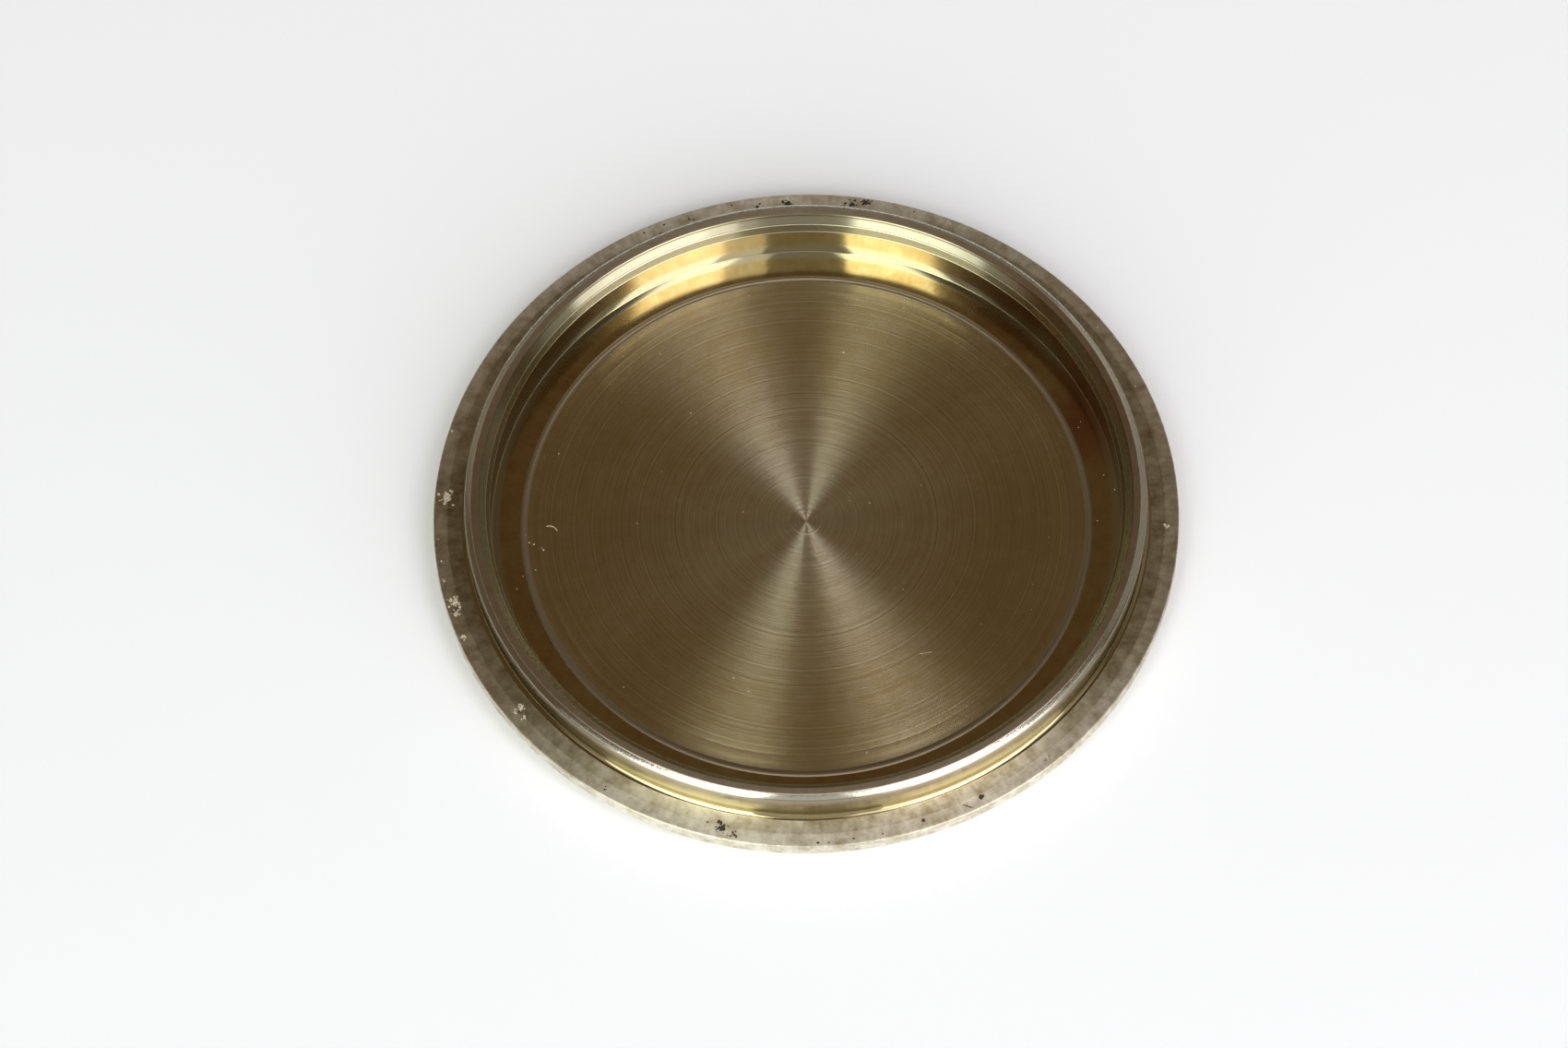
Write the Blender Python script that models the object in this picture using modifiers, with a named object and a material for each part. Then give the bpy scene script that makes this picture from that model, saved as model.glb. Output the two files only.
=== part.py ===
"""Round cover of a floor drain: one nickel-bronze disc, turned on a lathe.

It lies show face down, the way it is put on a bench: the plain show face is at z = 0, the flange
that seats on the drain's rim is above it, and the spigot ring that enters the drain's neck points
up. The inside of the ring is bored out to a shallow recess. Everything is concentric with +Z.
"""

import math

import bpy

MM = 0.001

# Plate and flange
OUTER_RADIUS = 50.0 * MM
PLATE_HEIGHT = 5.0 * MM  # show face to flange seat
EDGE_LAND = 1.9 * MM  # straight, visible part of the flange's edge
EDGE_TAPER = 2.6 * MM  # how far the edge is drawn in below its straight part
EDGE_BREAK = 0.2 * MM
SHOW_FACE_BREAK = 0.3 * MM
BAND_WIDTH = 1.7 * MM  # outer band of the seat, which falls away slightly
BAND_FALL = 0.08 * MM

# Spigot ring
SPIGOT_HEIGHT = 4.85 * MM  # above the flange seat
SPIGOT_ROOT_RADIUS = 45.4 * MM
SHOULDER_RADIUS = 45.7 * MM
SHOULDER_HEIGHT = 3.2 * MM  # above the flange seat, where the shoulder's rounding starts
CHAMFER_RADIUS = 45.5 * MM  # foot of the chamfer that leads the ring in
CHAMFER_DEPTH = 0.42 * MM  # below the ring's rim
RIM_OUTER_RADIUS = 44.8 * MM
RIM_INNER_RADIUS = 43.7 * MM
RIM_OUTER_BREAK = 0.08 * MM
RIM_INNER_BREAK = 0.3 * MM
ROOT_FILLET = 0.2 * MM

# Mouth of the recess: two short cones with a fine step between them
MOUTH_RADIUS = 42.95 * MM
MOUTH_DEPTH = 1.1 * MM  # below the ring's rim
MOUTH_STEP = 0.12 * MM
BORE_RADIUS = 42.3 * MM
BORE_DEPTH = 2.15 * MM  # below the ring's rim, where the straight wall starts

# Recess floor
FLOOR_DEPTH = 2.5 * MM  # below the flange seat
WALL_FILLET = 0.2 * MM
GROOVE_DEPTH = 0.06 * MM  # of the flat groove between the wall and the ridge
RIDGE_OUTER_RADIUS = 38.5 * MM
RIDGE_INNER_RADIUS = 37.7 * MM
RIDGE_HEIGHT = 0.14 * MM
PIP_RADIUS = 2.05 * MM  # low pip that the facing cut left at the centre
PIP_HEIGHT = 0.1 * MM

TURN_STEPS = 96
FILLET_STEPS = 3


def arc(centre, radius, start, end, steps=FILLET_STEPS):
    """Points (r, z) from the start angle to the end angle, in degrees from +r towards +z."""
    angles = [math.radians(start + (end - start) * i / steps) for i in range(steps + 1)]
    return [(centre[0] + radius * math.cos(a), centre[1] + radius * math.sin(a)) for a in angles]


def recess_floor(floor):
    """From the axis out to the foot of the wall: centre pip, flat floor, ridge, groove."""
    ridge_middle = (RIDGE_INNER_RADIUS + RIDGE_OUTER_RADIUS) / 2
    groove = floor - GROOVE_DEPTH
    corner = (BORE_RADIUS - WALL_FILLET, groove + WALL_FILLET)
    return [
        (0.0, floor + PIP_HEIGHT),
        (PIP_RADIUS - PIP_HEIGHT, floor + PIP_HEIGHT),
        (PIP_RADIUS, floor),
        (RIDGE_INNER_RADIUS, floor),
        (ridge_middle, floor + RIDGE_HEIGHT),
        (RIDGE_OUTER_RADIUS, groove),
        *arc(corner, WALL_FILLET, -90, 0),
    ]


def recess_mouth(rim):
    """Up from the straight wall, over the two cones and the step between them, to the rim."""
    return [
        (BORE_RADIUS, rim - BORE_DEPTH),
        (MOUTH_RADIUS - MOUTH_STEP, rim - MOUTH_DEPTH),
        (MOUTH_RADIUS, rim - MOUTH_DEPTH),
        (RIM_INNER_RADIUS, rim - RIM_INNER_BREAK),
        (RIM_INNER_RADIUS + RIM_INNER_BREAK / 2, rim),
    ]


def spigot_outside(rim, seat):
    """Down the ring's outer side: rim edge, chamfer, rounded shoulder, and the fillet at its root."""
    root = (SPIGOT_ROOT_RADIUS + ROOT_FILLET, seat + ROOT_FILLET)
    shoulder = seat + SHOULDER_HEIGHT
    drop = rim - CHAMFER_DEPTH - shoulder
    bulge = SHOULDER_RADIUS - CHAMFER_RADIUS
    return [
        (RIM_OUTER_RADIUS - RIM_OUTER_BREAK, rim),
        (RIM_OUTER_RADIUS, rim - RIM_OUTER_BREAK),
        (CHAMFER_RADIUS, rim - CHAMFER_DEPTH),
        (CHAMFER_RADIUS + 0.7 * bulge, shoulder + 0.7 * drop),
        (SHOULDER_RADIUS, shoulder + 0.35 * drop),
        (SHOULDER_RADIUS, shoulder),
        *arc(root, ROOT_FILLET, 180, 270),
    ]


def flange_outside(seat):
    """Out over the flange seat, down its straight edge and in along the taper to the show face."""
    edge_bottom = seat - EDGE_LAND
    foot = OUTER_RADIUS - EDGE_TAPER
    lean = math.atan2(EDGE_TAPER, edge_bottom)
    return [
        (OUTER_RADIUS - BAND_WIDTH, seat),
        (OUTER_RADIUS - EDGE_BREAK, seat - BAND_FALL),
        (OUTER_RADIUS, seat - BAND_FALL - EDGE_BREAK),
        (OUTER_RADIUS, edge_bottom),
        (foot + SHOW_FACE_BREAK * math.sin(lean), SHOW_FACE_BREAK * math.cos(lean)),
        (foot - SHOW_FACE_BREAK, 0.0),
        (0.0, 0.0),
    ]


def cover_profile():
    seat = PLATE_HEIGHT
    rim = seat + SPIGOT_HEIGHT
    floor = seat - FLOOR_DEPTH
    return recess_floor(floor) + recess_mouth(rim) + spigot_outside(rim, seat) + flange_outside(seat)


def nickel_bronze():
    material = bpy.data.materials.new("nickel_bronze")
    material.use_nodes = True
    shader = material.node_tree.nodes["Principled BSDF"]
    shader.inputs["Base Color"].default_value = (0.56, 0.45, 0.28, 1.0)
    shader.inputs["Metallic"].default_value = 1.0
    shader.inputs["Roughness"].default_value = 0.32
    material.diffuse_color = (0.56, 0.45, 0.28, 1.0)
    return material


def turned(name, profile, material, collection):
    """A solid of revolution about Z from a profile that starts and ends on the axis."""
    mesh = bpy.data.meshes.new(name)
    points = [(r, 0.0, z) for r, z in profile]
    mesh.from_pydata(points, [(i, i + 1) for i in range(len(points) - 1)], [])
    mesh.materials.append(material)
    obj = bpy.data.objects.new(name, mesh)
    collection.objects.link(obj)
    screw = obj.modifiers.new("Turn", "SCREW")
    screw.axis = "Z"
    screw.angle = math.tau
    screw.steps = TURN_STEPS
    screw.render_steps = TURN_STEPS
    screw.use_merge_vertices = True
    screw.merge_threshold = 1e-6
    screw.use_smooth_shade = True
    return obj


def clear_scene():
    for obj in list(bpy.data.objects):
        bpy.data.objects.remove(obj, do_unlink=True)


def main():
    clear_scene()
    collection = bpy.data.collections.new("floor_drain_cover")
    bpy.context.scene.collection.children.link(collection)
    turned("cover", cover_profile(), nickel_bronze(), collection)


main()
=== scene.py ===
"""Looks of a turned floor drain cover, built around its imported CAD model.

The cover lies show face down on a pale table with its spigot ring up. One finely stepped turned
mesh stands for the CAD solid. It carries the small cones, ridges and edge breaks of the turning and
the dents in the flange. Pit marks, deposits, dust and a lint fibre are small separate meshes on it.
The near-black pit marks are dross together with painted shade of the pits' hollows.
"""

import math
import random

import bpy
import numpy as np
from mathutils import Matrix, Vector


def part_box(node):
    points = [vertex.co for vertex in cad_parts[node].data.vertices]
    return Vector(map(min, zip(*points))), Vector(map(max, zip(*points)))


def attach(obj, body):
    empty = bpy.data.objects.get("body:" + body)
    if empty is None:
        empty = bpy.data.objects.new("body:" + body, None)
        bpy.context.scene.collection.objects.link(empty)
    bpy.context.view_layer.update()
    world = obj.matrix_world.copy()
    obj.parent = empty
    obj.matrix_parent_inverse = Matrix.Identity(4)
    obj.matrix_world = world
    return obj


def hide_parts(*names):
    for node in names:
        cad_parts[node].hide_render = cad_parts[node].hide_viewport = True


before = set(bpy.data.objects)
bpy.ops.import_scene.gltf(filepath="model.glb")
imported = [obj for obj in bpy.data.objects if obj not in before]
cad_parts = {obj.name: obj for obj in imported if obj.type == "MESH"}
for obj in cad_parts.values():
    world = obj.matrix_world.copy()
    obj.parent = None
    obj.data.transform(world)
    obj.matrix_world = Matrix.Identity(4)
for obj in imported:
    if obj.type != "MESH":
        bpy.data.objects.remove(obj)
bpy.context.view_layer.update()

MM = 0.001
LOW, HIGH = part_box("cover")
OUTER_RADIUS = (HIGH[0] - LOW[0]) / 2
RIM = HIGH[2]

# Heights and radii, as the CAD has them
SPIGOT_HEIGHT = 4.85 * MM
SEAT = RIM - SPIGOT_HEIGHT
RECESS_DEPTH = 2.5 * MM
FLOOR = SEAT - RECESS_DEPTH
GROOVE_DEPTH = 0.06 * MM
GROOVE = FLOOR - GROOVE_DEPTH
BORE_RADIUS = 42.3 * MM
BAND_RADIUS = OUTER_RADIUS - 1.7 * MM
BAND_FALL = 0.08 * MM

# The visual mesh: faces round the axis, the angle that stays a crisp edge, and small forms
TURN_STEPS = 720
SHARP_ANGLE = math.radians(12)
PIP_RADIUS = 2.05 * MM
PIP_HEIGHT = 0.04 * MM
RIDGE_EDGE = 38.4 * MM
CORNER_FILLET = 0.12 * MM
ROOT_FILLET = 0.7 * MM
EDGE_FILLET = 0.22 * MM
SIDE_HEIGHT = 1.9 * MM
SHOULDER = SEAT + 3.2 * MM
AXIS_HOLE = 0.12 * MM


def arc(centre, radius, start, end, steps):
    """Points (r, z) on an arc, with angles in degrees from +r towards +z."""
    angles = [math.radians(start + (end - start) * i / steps) for i in range(steps + 1)]
    return [(centre[0] + radius * math.cos(a), centre[1] + radius * math.sin(a)) for a in angles]


def run(start, end, steps):
    """Evenly spaced points from start up to, and without, end."""
    return [
        (start[0] + (end[0] - start[0]) * i / steps, start[1] + (end[1] - start[1]) * i / steps)
        for i in range(steps)
    ]


def profile():
    """The turned outline as (zone, points): each zone is one finish, from the axis to the axis."""
    pip_top = [(AXIS_HOLE, FLOOR + PIP_HEIGHT), (PIP_RADIUS - 0.1 * MM, FLOOR + PIP_HEIGHT)]
    floor_zone = run((3.0 * MM, FLOOR), (35.2 * MM, FLOOR), 12)
    floor_zone += [(35.2 * MM, FLOOR), (35.35 * MM, FLOOR - 0.02 * MM), (35.5 * MM, FLOOR)]
    floor_zone += [(36.3 * MM, FLOOR - 0.01 * MM), (36.6 * MM, FLOOR - 0.04 * MM)]
    floor_zone += [(37.0 * MM, FLOOR - 0.06 * MM), (37.5 * MM, FLOOR - 0.05 * MM)]
    ridge = [(37.74 * MM, FLOOR - 0.03 * MM), (37.84 * MM, FLOOR + 0.015 * MM)]
    ridge += [(37.96 * MM, FLOOR + 0.05 * MM), (38.1 * MM, FLOOR + 0.05 * MM)]
    ridge += [(38.24 * MM, FLOOR + 0.03 * MM), (38.45 * MM, GROOVE)]
    corner = BORE_RADIUS - CORNER_FILLET
    groove = run((38.55 * MM, GROOVE), (corner, GROOVE), 4)
    fillet = arc((corner, GROOVE + CORNER_FILLET), CORNER_FILLET, -90, 0, 4)
    wall_top = (BORE_RADIUS, RIM - 2.2 * MM)
    wall = run((BORE_RADIUS, GROOVE + 0.2 * MM), wall_top, 4) + [wall_top]
    lower_line = [(42.35 * MM, RIM - 2.15 * MM)]
    lower_mouth = [(42.78 * MM, RIM - 1.16 * MM)]
    upper_line = [(42.86 * MM, RIM - 1.1 * MM)]
    upper_mouth = [(42.93 * MM, RIM - 1.08 * MM), (43.68 * MM, RIM - 0.34 * MM)]
    upper_mouth += [(43.7 * MM, RIM - 0.2 * MM), (43.75 * MM, RIM - 0.08 * MM)]
    upper_mouth += [(43.84 * MM, RIM - 0.01 * MM)]
    rim = [(43.94 * MM, RIM), (44.7 * MM, RIM)]
    rim += [(44.78 * MM, RIM - 0.03 * MM), (44.82 * MM, RIM - 0.08 * MM)]
    cone = [(45.05 * MM, RIM - 0.17 * MM), (45.28 * MM, RIM - 0.29 * MM)]
    cone += [(45.46 * MM, RIM - 0.4 * MM)]
    rounding = [(45.54 * MM, RIM - 0.47 * MM), (45.61 * MM, RIM - 0.6 * MM)]
    rounding += [(45.66 * MM, RIM - 0.85 * MM), (45.69 * MM, RIM - 1.15 * MM)]
    rounding += [(45.7 * MM, SHOULDER)]
    neck = [(45.69 * MM, SHOULDER - 0.06 * MM), (45.55 * MM, SEAT + 1.6 * MM)]
    neck += [(45.5 * MM, SEAT + 0.75 * MM)]
    root = arc((46.2 * MM, SEAT + ROOT_FILLET), ROOT_FILLET, 180, 270, 10)
    seat = run((46.3 * MM, SEAT), (BAND_RADIUS, SEAT), 12)
    edge = SEAT - BAND_FALL
    flange_band = run((BAND_RADIUS, SEAT), (OUTER_RADIUS - 0.3 * MM, edge + 0.01 * MM), 9)
    flange_band += arc((OUTER_RADIUS - EDGE_FILLET, edge - EDGE_FILLET), EDGE_FILLET, 90, 0, 4)
    side_foot = (OUTER_RADIUS, SEAT - SIDE_HEIGHT)
    side = run((OUTER_RADIUS, edge - 0.35 * MM), side_foot, 5) + [side_foot]
    under = [(OUTER_RADIUS - 0.05 * MM, SEAT - 2.0 * MM), (OUTER_RADIUS - 2.4 * MM, 0.22 * MM)]
    under += [(OUTER_RADIUS - 2.6 * MM, 0.06 * MM), (OUTER_RADIUS - 2.9 * MM, 0.0)]
    under += run((46.5 * MM, 0.0), (0.5 * MM, 0.0), 8) + [(AXIS_HOLE, 0.0)]
    return [
        ("floor", pip_top),
        ("ridge", [(PIP_RADIUS, FLOOR)]),
        ("floor", floor_zone),
        ("ridge", ridge),
        ("groove", groove),
        ("wall", fillet + wall),
        ("line", lower_line),
        ("mouth", lower_mouth),
        ("line", upper_line),
        ("mouth", upper_mouth),
        ("rim", rim),
        ("cone", cone),
        ("shoulder", rounding),
        ("neck", neck),
        ("root", root),
        ("seat", seat),
        ("band", flange_band + side),
        ("under", under),
    ]


def ground(radius):
    """Height of the recess floor or the flange at a radius."""
    if radius < RIDGE_EDGE:
        return FLOOR
    if radius < BORE_RADIUS:
        return GROOVE
    return SEAT - BAND_FALL * max(0.0, (radius - BAND_RADIUS) / (OUTER_RADIUS - BAND_RADIUS))


def polar(angle, radius):
    """Metres from an angle in degrees and a radius in millimetres."""
    return radius * MM * math.cos(math.radians(angle)), radius * MM * math.sin(math.radians(angle))


# Knocks and casting pits in the flange: angle, radius, size and depth in degrees and millimetres
DENTS = [
    (255.2, 48.6, 0.7, 0.05), (257.2, 49.2, 0.7, 0.05), (287.1, 48.7, 0.5, 0.05),
    (297.0, 48.6, 0.5, 0.06), (280.5, 49.3, 0.4, 0.03), (113.1, 47.9, 0.5, 0.06),
    (91.7, 48.7, 1.0, 0.1), (96.6, 48.4, 0.6, 0.06), (81.5, 48.8, 1.1, 0.06),
    (79.0, 49.3, 0.9, 0.06), (71.2, 49.3, 0.5, 0.05), (216.9, 48.1, 1.0, 0.06),
    (175.6, 48.5, 1.2, 0.05), (195.8, 48.9, 1.3, 0.06), (163.6, 49.9, 0.5, 0.08),
    (198.5, 49.8, 0.8, 0.1), (201.0, 49.9, 0.6, 0.1), (190.5, 49.9, 0.5, 0.08),
    (107.9, 48.8, 0.5, 0.05), (115.5, 49.2, 0.4, 0.05), (64.8, 49.3, 0.6, 0.05),
    (355.9, 48.1, 0.8, 0.05), (183.6, 49.9, 0.4, 0.06), (130.0, 49.8, 0.7, 0.07),
]


def dented(verts):
    """The vertices with shallow round dents pressed into the top of the flange."""
    for angle, radius, size, depth in DENTS:
        x, y = polar(angle, radius)
        away = np.hypot(verts[:, 0] - x, verts[:, 1] - y) / (size * MM)
        hit = (away < 1.0) & (verts[:, 2] > SEAT - 0.4 * MM) & (verts[:, 2] < SEAT + 0.1 * MM)
        verts[hit, 2] -= depth * MM * (1 - away[hit] ** 2)
    return verts


def turned_mesh(name, zones, steps, materials):
    """The outline turned round the z axis, with each zone in its own material."""
    rows = [point for _, points in zones for point in points]
    zone_of = [zone for zone, points in zones for _ in points]
    slots = list(materials)
    r = np.array([p[0] for p in rows])[:, None]
    z = np.array([p[1] for p in rows])[:, None]
    turn = np.radians(np.arange(steps) * (360 / steps))[None, :]
    x, y = r * np.cos(turn), r * np.sin(turn)
    verts = dented(np.stack([x, y, np.broadcast_to(z, x.shape)], axis=2).reshape(-1, 3))
    faces, index = [], []
    for i in range(len(rows) - 1):
        for j in range(steps):
            k = (j + 1) % steps
            faces.append((i * steps + j, (i + 1) * steps + j, (i + 1) * steps + k, i * steps + k))
            index.append(slots.index(zone_of[i + 1]))
    top, bottom = len(verts), len(verts) + 1
    verts = np.vstack([verts, [(0, 0, rows[0][1]), (0, 0, rows[-1][1])]])
    last = (len(rows) - 1) * steps
    for j in range(steps):
        k = (j + 1) % steps
        faces.append((top, j, k))
        index.append(slots.index("floor"))
        faces.append((bottom, last + k, last + j))
        index.append(slots.index("under"))
    mesh = bpy.data.meshes.new(name)
    mesh.from_pydata(verts.tolist(), [], faces)
    for zone in slots:
        mesh.materials.append(materials[zone])
    mesh.polygons.foreach_set("material_index", index)
    mesh.shade_smooth()
    mesh.set_sharp_from_angle(angle=SHARP_ANGLE)
    obj = bpy.data.objects.new(name, mesh)
    bpy.context.scene.collection.objects.link(obj)
    return obj


class Nodes:
    """Short calls for building a material's node tree."""

    def __init__(self, name):
        self.material = bpy.data.materials.new(name)
        self.material.use_nodes = True
        self.tree = self.material.node_tree
        self.shader = self.tree.nodes["Principled BSDF"]

    def feed(self, value, socket):
        if isinstance(value, bpy.types.NodeSocket):
            self.tree.links.new(value, socket)
        else:
            socket.default_value = value

    def math(self, operation, a, b=0.0, clamp=False):
        node = self.tree.nodes.new("ShaderNodeMath")
        node.operation = operation
        node.use_clamp = clamp
        self.feed(a, node.inputs[0])
        self.feed(b, node.inputs[1])
        return node.outputs[0]

    def vector(self, operation, a, b=(0.0, 0.0, 0.0)):
        node = self.tree.nodes.new("ShaderNodeVectorMath")
        node.operation = operation
        self.feed(a, node.inputs[0])
        self.feed(b, node.inputs["Scale"] if operation == "SCALE" else node.inputs[1])
        return node.outputs[1] if operation in ("LENGTH", "DOT_PRODUCT") else node.outputs[0]

    def ramp(self, value, low, high, to_low=0.0, to_high=1.0):
        node = self.tree.nodes.new("ShaderNodeMapRange")
        self.feed(value, node.inputs["Value"])
        limits = {"From Min": low, "From Max": high, "To Min": to_low, "To Max": to_high}
        for socket, number in limits.items():
            node.inputs[socket].default_value = number
        return node.outputs["Result"]

    def mix(self, amount, a, b):
        node = self.tree.nodes.new("ShaderNodeMix")
        node.data_type = "RGBA"
        self.feed(amount, node.inputs["Factor"])
        self.feed(a, node.inputs["A"])
        self.feed(b, node.inputs["B"])
        return node.outputs["Result"]

    def noise(self, where, scale, detail=2.0, dimensions="3D"):
        node = self.tree.nodes.new("ShaderNodeTexNoise")
        node.noise_dimensions = dimensions
        self.feed(where, node.inputs["W" if dimensions == "1D" else "Vector"])
        node.inputs["Scale"].default_value = scale
        node.inputs["Detail"].default_value = detail
        return node.outputs["Fac"]


# How many of each pattern's features fill a metre
GROOVES_PER_M, HAIRLINES_PER_M, RINGS_PER_M = 2600.0, 3600.0, 900.0
CLOUDS_PER_M, STAINS_PER_M, BLOTCHES_PER_M = 55.0, 160.0, 420.0
SPOTS_PER_M, SPECKLES_PER_M, CRUMB_MOTTLE_PER_M = 1700.0, 5200.0, 4000.0


def turned_metal(
    name, clean, tarnished, roughness, anisotropy=1.0, groove=0.03, grain=0.0, tarnish=0.5,
    outward=None, mottle=0.3, patches=0.0, hairlines=0.0, rust=0.0,
):
    """Turned nickel bronze: fine grooves run round the axis, so light stretches across them.

    groove is the slope of the grooves that are wide enough to see, grain that of a fine speckle.
    tarnish is how tarnished the metal is on the whole, unless outward gives two radii and the
    tarnish at each. mottle, patches and hairlines are how much that varies in wide clouds, in small
    blotches and from groove to groove. rust is the strength of a reddish stain on one side.
    """
    n = Nodes(name)
    shader = n.shader
    shader.inputs["Metallic"].default_value = 1.0
    shader.inputs["Anisotropic"].default_value = anisotropy
    shader.inputs["Anisotropic Rotation"].default_value = 0.25
    place = n.tree.nodes.new("ShaderNodeTexCoord").outputs["Object"]
    split = n.tree.nodes.new("ShaderNodeSeparateXYZ")
    n.feed(place, split.inputs[0])
    flat = n.vector("MULTIPLY", place, (1.0, 1.0, 0.0))
    radius = n.vector("LENGTH", flat)
    along = n.math("ADD", radius, split.outputs["Z"])

    # Grooves tilt the normal across the turning direction
    ring = n.vector("NORMALIZE", n.vector("CROSS_PRODUCT", (0.0, 0.0, 1.0), place))
    normal = n.tree.nodes.new("ShaderNodeNewGeometry").outputs["Normal"]
    across = n.vector("CROSS_PRODUCT", ring, normal)
    fine = n.math("SUBTRACT", n.noise(along, GROOVES_PER_M, 2.0, "1D"), 0.5)
    slope = n.math("MULTIPLY", fine, groove * 4.0)
    if grain:
        speckle = n.math("SUBTRACT", n.noise(place, SPECKLES_PER_M, 1.0), 0.5)
        slope = n.math("ADD", slope, n.math("MULTIPLY", speckle, grain * 4.0))
    tilted = n.vector("ADD", normal, n.vector("SCALE", across, slope))
    n.feed(n.vector("NORMALIZE", tilted), shader.inputs["Normal"])
    tangent = n.tree.nodes.new("ShaderNodeTangent")
    tangent.direction_type = "RADIAL"
    tangent.axis = "Z"
    n.feed(tangent.outputs["Tangent"], shader.inputs["Tangent"])

    # Tarnish lies in cloudy patches and in rings
    clouds = n.noise(place, CLOUDS_PER_M, 5.0)
    variations = [(clouds, 2.2 * mottle), (n.noise(along, RINGS_PER_M, 2.0, "1D"), 0.5 * mottle)]
    if patches:
        variations.append((n.noise(place, BLOTCHES_PER_M, 5.0), 2.4 * patches))
        variations.append((n.noise(place, SPOTS_PER_M, 3.0), 1.4 * patches))
    if hairlines:
        variations.append((n.noise(along, HAIRLINES_PER_M, 1.0, "1D"), 2.0 * hairlines))
    amount = n.ramp(radius, *outward) if outward else tarnish
    for pattern, strength in variations:
        swing = n.math("MULTIPLY", n.math("SUBTRACT", pattern, 0.5), strength)
        amount = n.math("ADD", amount, swing)
    amount = n.math("ADD", amount, 0.0, clamp=True)
    colour = n.mix(amount, (*clean, 1.0), (*tarnished, 1.0))
    if rust:
        side = n.vector("DOT_PRODUCT", n.vector("NORMALIZE", flat), RUST_SIDE)
        stained_side = n.ramp(side, 0.92, 0.98)
        stains = n.ramp(n.noise(place, STAINS_PER_M, 4.0), 0.36, 0.56)
        where = n.math("MULTIPLY", stained_side, stains)
        colour = n.mix(n.math("MULTIPLY", where, rust), colour, (*RUST, 1.0))
    n.feed(colour, shader.inputs["Base Color"])
    n.feed(n.ramp(clouds, 0.0, 1.0, roughness * 0.95, roughness * 1.05), shader.inputs["Roughness"])
    return n.material


# Metal colours, clean or tarnished
WHITISH, OLIVE = (0.76, 0.72, 0.56), (0.52, 0.42, 0.22)
STRAW, BRASS, UMBER = (0.55, 0.53, 0.39), (0.48, 0.45, 0.32), (0.37, 0.32, 0.19)
GOLD, BROWN = (0.54, 0.45, 0.24), (0.41, 0.28, 0.11)
SILVER, GREY = (0.72, 0.75, 0.66), (0.54, 0.54, 0.47)
DULL, DULL_BROWN = (0.29, 0.24, 0.165), (0.235, 0.185, 0.12)
PALE_GOLD, DEEP_GOLD = (0.51, 0.485, 0.365), (0.43, 0.40, 0.28)
MOSS, DARK_MOSS = (0.36, 0.345, 0.25), (0.29, 0.275, 0.18)
TAN, DARK_TAN = (0.57, 0.505, 0.41), (0.39, 0.325, 0.235)
CLAY, DARK_CLAY = (0.46, 0.40, 0.29), (0.35, 0.295, 0.205)
HONEY, DARK_HONEY = (0.50, 0.45, 0.28), (0.40, 0.34, 0.18)
CHALK, BARK = (0.70, 0.67, 0.55), (0.32, 0.26, 0.15)
BONE, WALNUT = (0.80, 0.77, 0.66), (0.39, 0.33, 0.21)
RUST = (0.36, 0.18, 0.09)
RUST_SIDE = (math.cos(math.radians(30)), math.sin(math.radians(30)), 0.0)

# From the bright centre to the browner outer floor
FLOOR_TARNISH = (2 * MM, 27 * MM, 0.15, 0.85)

finishes = {
    "floor": turned_metal(
        "turned_floor", WHITISH, OLIVE, 0.25, outward=FLOOR_TARNISH, patches=0.2, hairlines=0.45
    ),
    "ridge": turned_metal("turned_ridge", DULL, DULL_BROWN, 0.5, 0.0),
    "groove": turned_metal(
        "turned_groove", GOLD, BROWN, 0.09, groove=0.01, mottle=0.8, patches=0.6, rust=0.9
    ),
    "wall": turned_metal(
        "bore_wall", PALE_GOLD, DEEP_GOLD, 0.09, groove=0.01, mottle=0.5, rust=0.7
    ),
    "line": turned_metal("worn_line", STRAW, BRASS, 0.3, 0.5),
    "mouth": turned_metal("bore_mouth", MOSS, DARK_MOSS, 0.2, rust=0.5),
    "rim": turned_metal("ring_rim", TAN, DARK_TAN, 0.36, 0.6, patches=0.4, rust=0.4),
    "cone": turned_metal("lead_in_cone", SILVER, GREY, 0.15, grain=0.1, tarnish=0.3),
    "shoulder": turned_metal("ring_shoulder", CLAY, DARK_CLAY, 0.22),
    "neck": turned_metal("ring_neck", BRASS, UMBER, 0.14, groove=0.01),
    "root": turned_metal("root_fillet", HONEY, DARK_HONEY, 0.1, groove=0.01),
    "seat": turned_metal(
        "flange_seat", CHALK, BARK, 0.48, 0.8, tarnish=0.42, mottle=0.5, patches=0.8
    ),
    "band": turned_metal("flange_band", BONE, WALNUT, 0.48, 0.7, tarnish=0.35, patches=0.8),
    "under": turned_metal("show_face", WHITISH, OLIVE, 0.3, 0.9, tarnish=0.2),
}
cover = turned_mesh("turned_cover", profile(), TURN_STEPS, finishes)
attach(cover, "root")
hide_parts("cover")


# Dirt and wear: crumbs, dust and a fibre that lie on the metal, and near-black pit marks that are
# dross with painted shade of the pits

CRUMB_SIDES = 8
# The size and height of a crumb's foot, shoulder and top, as shares
CRUMB_ROWS = ((1.0, -0.01), (0.9, 0.6), (0.5, 1.0))
CRUMB_MARGIN = 0.25 * MM
FURTHEST_CRUMB = 49.6
FIBRE_RADIUS = 0.06 * MM
# The lint fibre's bends on the floor, in millimetres from the axis
FIBRE_PATH = [(-34.9, 0.25), (-34.5, 0.3), (-34.1, 0.2), (-33.75, -0.05), (-33.5, -0.45)]


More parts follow.
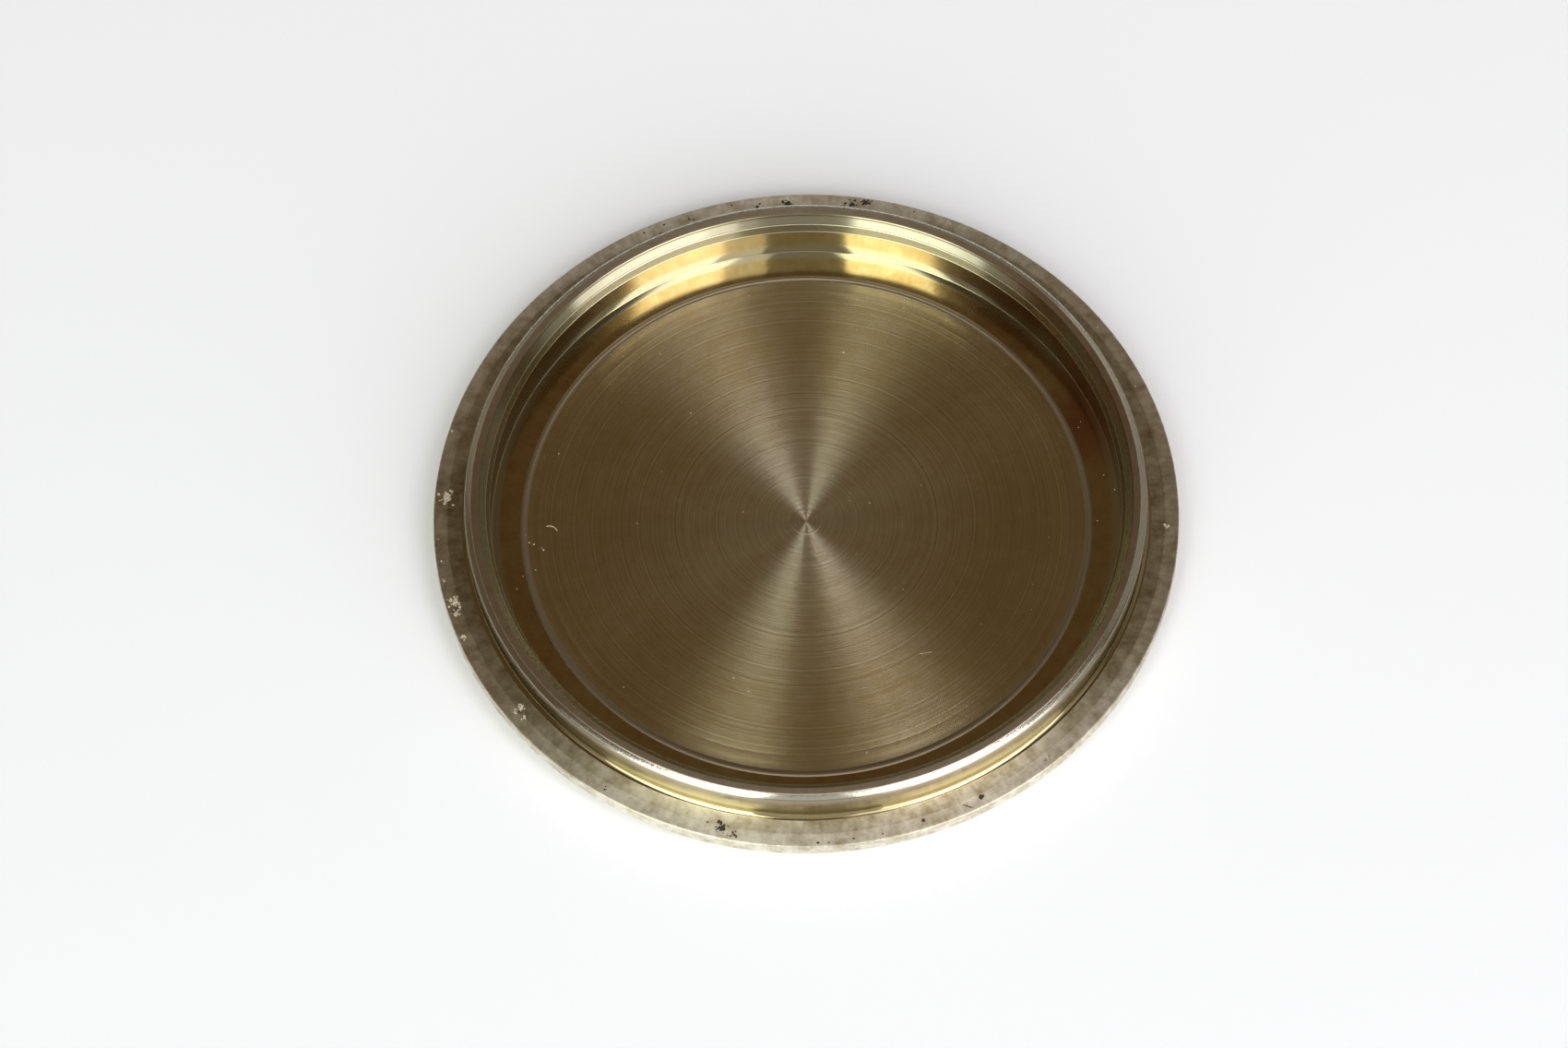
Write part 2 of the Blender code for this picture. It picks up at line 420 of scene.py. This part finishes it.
def crumbs_mesh(name, spots, colour, roughness, height):
    """Irregular low crumbs, one for each (angle, radius, size) in degrees and millimetres.

    height is a crumb's height as a share of half its size.
    """
    verts, faces = [], []
    sides = CRUMB_SIDES
    furthest = OUTER_RADIUS - CRUMB_MARGIN
    for angle, radius, size in spots:
        cx, cy = polar(angle, radius)
        size *= MM / 2
        spin, stretch = random.uniform(0, math.tau), random.uniform(0.55, 1.0)
        first = len(verts)
        for share, lift in CRUMB_ROWS:
            for i in range(sides):
                turn = math.tau * i / sides
                reach = size * share * random.uniform(0.7, 1.2)
                u, v = reach * math.cos(turn), reach * stretch * math.sin(turn)
                x = cx + u * math.cos(spin) - v * math.sin(spin)
                y = cy + u * math.sin(spin) + v * math.cos(spin)
                z = ground(math.hypot(x, y)) + lift * height * size * random.uniform(0.8, 1.2)
                if math.hypot(x, y) > furthest:
                    scale = furthest / math.hypot(x, y)
                    x, y = x * scale, y * scale
                verts.append((x, y, z))
        for row in range(len(CRUMB_ROWS) - 1):
            for i in range(sides):
                a, b = first + row * sides + i, first + row * sides + (i + 1) % sides
                faces.append((a, b, b + sides, a + sides))
        faces.append(tuple(first + 2 * sides + i for i in range(sides)))
        faces.append(tuple(first + i for i in reversed(range(sides))))
    mesh = bpy.data.meshes.new(name)
    mesh.from_pydata(verts, [], faces)
    mesh.shade_smooth()
    obj = bpy.data.objects.new(name, mesh)
    bpy.context.scene.collection.objects.link(obj)
    mesh.materials.append(dirt(name, colour, roughness))
    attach(obj, "root")


def dirt(name, colour, roughness):
    """A dull material, mottled between its colour and a darker one."""
    n = Nodes(name)
    place = n.tree.nodes.new("ShaderNodeTexCoord").outputs["Object"]
    dark = tuple(0.6 * c for c in colour)
    pattern = n.ramp(n.noise(place, CRUMB_MOTTLE_PER_M, 2.0), 0.35, 0.65)
    mottled = n.mix(pattern, (*dark, 1.0), (*colour, 1.0))
    n.feed(mottled, n.shader.inputs["Base Color"])
    n.shader.inputs["Roughness"].default_value = roughness
    return n.material


def clusters(places):
    """Crumbs scattered round each (angle, radius, across, count, smallest, largest)."""
    found = []
    for angle, radius, across, count, smallest, largest in places:
        for _ in range(count):
            away, turn = random.gauss(0, across / 3), random.uniform(0, math.tau)
            step = math.degrees(away * math.cos(turn) / radius)
            out = min(FURTHEST_CRUMB, radius + away * math.sin(turn))
            found.append((angle + step, out, random.uniform(smallest, largest)))
    return found


def fibre():
    """A short bent lint fibre on the recess floor."""
    data = bpy.data.curves.new("lint_fibre", "CURVE")
    data.dimensions = "3D"
    data.bevel_depth = FIBRE_RADIUS
    data.bevel_resolution = 1
    spline = data.splines.new("POLY")
    spline.points.add(len(FIBRE_PATH) - 1)
    for point, (x, y) in zip(spline.points, FIBRE_PATH):
        point.co = (x * MM, y * MM, FLOOR + 0.07 * MM, 1.0)
    data.materials.append(dirt("lint_fibre", (0.62, 0.57, 0.46), 0.8))
    obj = bpy.data.objects.new("lint_fibre", data)
    bpy.context.scene.collection.objects.link(obj)
    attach(obj, "root")


# Places below are (angle in degrees, radius, spread, count, smallest size, largest size) or
# (angle in degrees, radius, size), with every length in millimetres.

random.seed(7)
deposits = clusters([
    (175.6, 48.4, 1.8, 56, 0.2, 0.5), (174.4, 47.8, 0.6, 9, 0.15, 0.3),
    (194.6, 48.7, 1.6, 44, 0.18, 0.45), (196.6, 48.9, 1.1, 22, 0.15, 0.35),
    (216.5, 47.8, 1.1, 26, 0.18, 0.4), (218.2, 48.3, 0.8, 14, 0.15, 0.35),
    (200.8, 49.2, 0.7, 14, 0.15, 0.35), (356.0, 48.2, 0.8, 14, 0.15, 0.4),
    (91.2, 49.4, 0.5, 7, 0.2, 0.4), (163.6, 49.5, 0.2, 4, 0.2, 0.4),
    (187.0, 49.3, 0.5, 5, 0.12, 0.25), (190.5, 49.4, 0.5, 5, 0.12, 0.25),
])
crumbs_mesh("pale_deposits", deposits, (0.60, 0.54, 0.40), 0.7, 0.5)

# Pit marks: near-black crumbs at the casting pits, their dross together with painted shade of the
# hollows
pits = clusters([
    (255.4, 48.5, 1.7, 50, 0.15, 0.5), (257.6, 49.0, 1.1, 18, 0.12, 0.35),
    (297.0, 48.6, 0.5, 10, 0.3, 0.6), (287.1, 48.7, 0.6, 9, 0.2, 0.4),
    (216.9, 48.2, 0.6, 10, 0.2, 0.5), (195.8, 48.9, 1.0, 12, 0.15, 0.4),
    (81.3, 48.6, 1.5, 26, 0.2, 0.5), (79.0, 49.3, 1.3, 24, 0.2, 0.5),
    (113.1, 47.9, 0.4, 6, 0.3, 0.5), (96.6, 48.4, 0.5, 8, 0.25, 0.5),
    (91.7, 48.4, 1.1, 26, 0.2, 0.55),
])
# A short slanting nick, then single pits
pits += [(293.9 + 0.14 * i, 48.6 + 0.12 * i, 0.22) for i in range(8)]
pits += [
    (280.5, 49.2, 0.3), (276.0, 49.2, 0.35), (270.5, 49.4, 0.4), (272.2, 49.45, 0.3),
    (71.2, 49.3, 0.3), (107.9, 48.8, 0.45), (112.0, 49.2, 0.35), (115.5, 49.2, 0.35),
    (107.2, 48.5, 0.3), (100.7, 49.3, 0.3),
]
pits += clusters([(309.0, 48.8, 1.0, 7, 0.12, 0.3), (236.0, 49.2, 0.8, 6, 0.12, 0.28)])
# The near-black colour paints the shade inside the pits and the nick, together with their dross
crumbs_mesh("pit_dross_and_painted_shade", pits, (0.05, 0.037, 0.02), 0.85, 0.12)

dust = [
    (161.0, 35.1, 0.22), (183.3, 37.3, 0.2), (183.8, 36.7, 0.24), (185.4, 35.5, 0.3),
    (184.9, 35.7, 0.18), (189.9, 37.0, 0.22), (181.5, 37.8, 0.15), (190.8, 38.8, 0.18),
    (193.2, 40.0, 0.18), (200.0, 37.6, 0.16), (224.5, 34.8, 0.18), (246.5, 25.6, 0.15),
    (16.8, 9.0, 0.15), (358.5, 39.1, 0.2), (5.1, 41.8, 0.22), (8.4, 40.7, 0.2),
    (19.9, 39.5, 0.15), (22.0, 48.5, 0.25), (34.5, 48.8, 0.2), (37.0, 48.2, 0.2),
    (65.0, 49.2, 0.3), (68.5, 47.8, 0.3), (183.0, 49.4, 0.2), (187.0, 49.3, 0.15),
    (240.0, 41.0, 0.15),
]
# Specks anywhere in the recess, then a short row of them
dust += [
    (random.uniform(0, 360), random.uniform(5, 41.5), random.uniform(0.08, 0.14))
    for _ in range(40)
]
dust += [(305.6 + 0.35 * i, 25.3 + 0.08 * i, 0.13) for i in range(9)]
crumbs_mesh("dust", dust, (0.66, 0.62, 0.50), 0.8, 0.5)
fibre()


# Table

TABLE_HALF = 3.0
TABLE_GAP = 0.02 * MM


def table_top():
    mesh = bpy.data.meshes.new("table")
    half = TABLE_HALF
    corners = [(-half, -half, 0), (half, -half, 0), (half, half, 0), (-half, half, 0)]
    mesh.from_pydata(corners, [], [(0, 1, 2, 3)])
    obj = bpy.data.objects.new("table", mesh)
    obj.location.z = -TABLE_GAP
    bpy.context.scene.collection.objects.link(obj)
    material = bpy.data.materials.new("table_white")
    material.use_nodes = True
    shader = material.node_tree.nodes["Principled BSDF"]
    shader.inputs["Base Color"].default_value = (0.889, 0.927, 0.985, 1.0)
    shader.inputs["Roughness"].default_value = 0.7
    shader.inputs["Specular IOR Level"].default_value = 0.2
    mesh.materials.append(material)
    return obj


table_top()


# Camera: a long lens about a metre away, aimed at the seat's centre

CAMERA_DISTANCE = 20 * OUTER_RADIUS
CAMERA_ELEVATION = math.radians(61.07)
CAMERA_PAN = math.radians(0.171)
CAMERA_TILT = math.radians(-0.085)
CAMERA_ROLL = math.radians(-1.48)
FOCAL_LENGTH = 171.2


def photo_camera():
    data = bpy.data.cameras.new("camera")
    data.lens = FOCAL_LENGTH
    data.sensor_width = 36.0
    data.clip_end = 20.0
    camera = bpy.data.objects.new("camera", data)
    bpy.context.scene.collection.objects.link(camera)
    target = Vector((0.0, 0.0, SEAT))
    away = Vector((0.0, -math.cos(CAMERA_ELEVATION), math.sin(CAMERA_ELEVATION)))
    tip_up = Matrix.Rotation(math.pi / 2 - CAMERA_ELEVATION, 4, "X")
    pan = Matrix.Rotation(CAMERA_PAN, 4, "Y")
    tilt = Matrix.Rotation(CAMERA_TILT, 4, "X")
    roll = Matrix.Rotation(CAMERA_ROLL, 4, "Z")
    place = Matrix.Translation(target + away * CAMERA_DISTANCE)
    camera.matrix_world = place @ tip_up @ pan @ tilt @ roll
    bpy.context.scene.camera = camera


photo_camera()


# Light: two tall windows in front, left and right, over a dim warm room

WINDOW_DISTANCE = 0.9
SILL, TOP = 0.7, 3.4
WINDOW_RADIANCE, LOW_RADIANCE, EDGE_RADIANCE = 4.6, 2.4, 1.3
GLOW_DISTANCE = 1.6
COOL_PINK, PALE_PINK, PALE_GREEN = (1.0, 0.97, 1.0), (1.0, 0.96, 0.98), (0.96, 1.0, 0.94)
ROOM_COLOUR = (0.122, 0.085, 0.048, 1.0)


def panel(name, direction, centre, width, height, radiance, color):
    """A glowing rectangle at centre that shines against its outward direction."""
    data = bpy.data.lights.new(name, "AREA")
    data.shape = "RECTANGLE"
    data.size = width
    data.size_y = height
    data.energy = radiance * math.pi * width * height
    data.color = color
    light = bpy.data.objects.new(name, data)
    bpy.context.scene.collection.objects.link(light)
    light.location = centre
    light.rotation_euler = direction.to_track_quat("Z", "Y").to_euler()


def window(name, azimuth, angle, low, high, radiance, color):
    """An upright panel that faces the cover. Its width is the angle it fills, in degrees."""
    outward = Vector((math.cos(math.radians(azimuth)), math.sin(math.radians(azimuth)), 0.0))
    centre = outward * WINDOW_DISTANCE + Vector((0.0, 0.0, (low + high) / 2))
    width = 2 * WINDOW_DISTANCE * math.tan(math.radians(angle / 2))
    panel(name, outward, centre, width, high - low, radiance, color)


def glow(name, azimuth, elevation, width, height, radiance, color):
    """A wide soft panel that faces the cover from an elevation in degrees."""
    a, e = math.radians(azimuth), math.radians(elevation)
    outward = Vector((math.cos(e) * math.cos(a), math.cos(e) * math.sin(a), math.sin(e)))
    panel(name, outward, outward * GLOW_DISTANCE, width, height, radiance, color)


window("window_right", 315.5, 35, SILL, TOP, WINDOW_RADIANCE, COOL_PINK)
window("window_right_low", 312, 50, 0.0, SILL, LOW_RADIANCE, COOL_PINK)
window("window_right_edge", 290, 16, SILL, TOP, EDGE_RADIANCE, PALE_PINK)
window("window_left", 236.5, 33, SILL, TOP, WINDOW_RADIANCE, PALE_GREEN)
window("window_left_low", 236, 38, 0.0, SILL, LOW_RADIANCE, PALE_GREEN)
glow("front_glow", 278, 37, 6.0, 2.8, 0.44, (1.0, 0.98, 0.95))
glow("side_glow", 35, 30, 1.5, 1.2, 0.15, (1.0, 0.97, 0.95))
glow("back_fill", 95, 34, 3.0, 0.9, 0.13, (1.0, 0.9, 0.72))

world = bpy.data.worlds.new("room")
world.use_nodes = True
bpy.context.scene.world = world
background = world.node_tree.nodes["Background"]
background.inputs["Color"].default_value = ROOM_COLOUR
background.inputs["Strength"].default_value = 1.0
bpy.context.scene.view_settings.view_transform = "Standard"
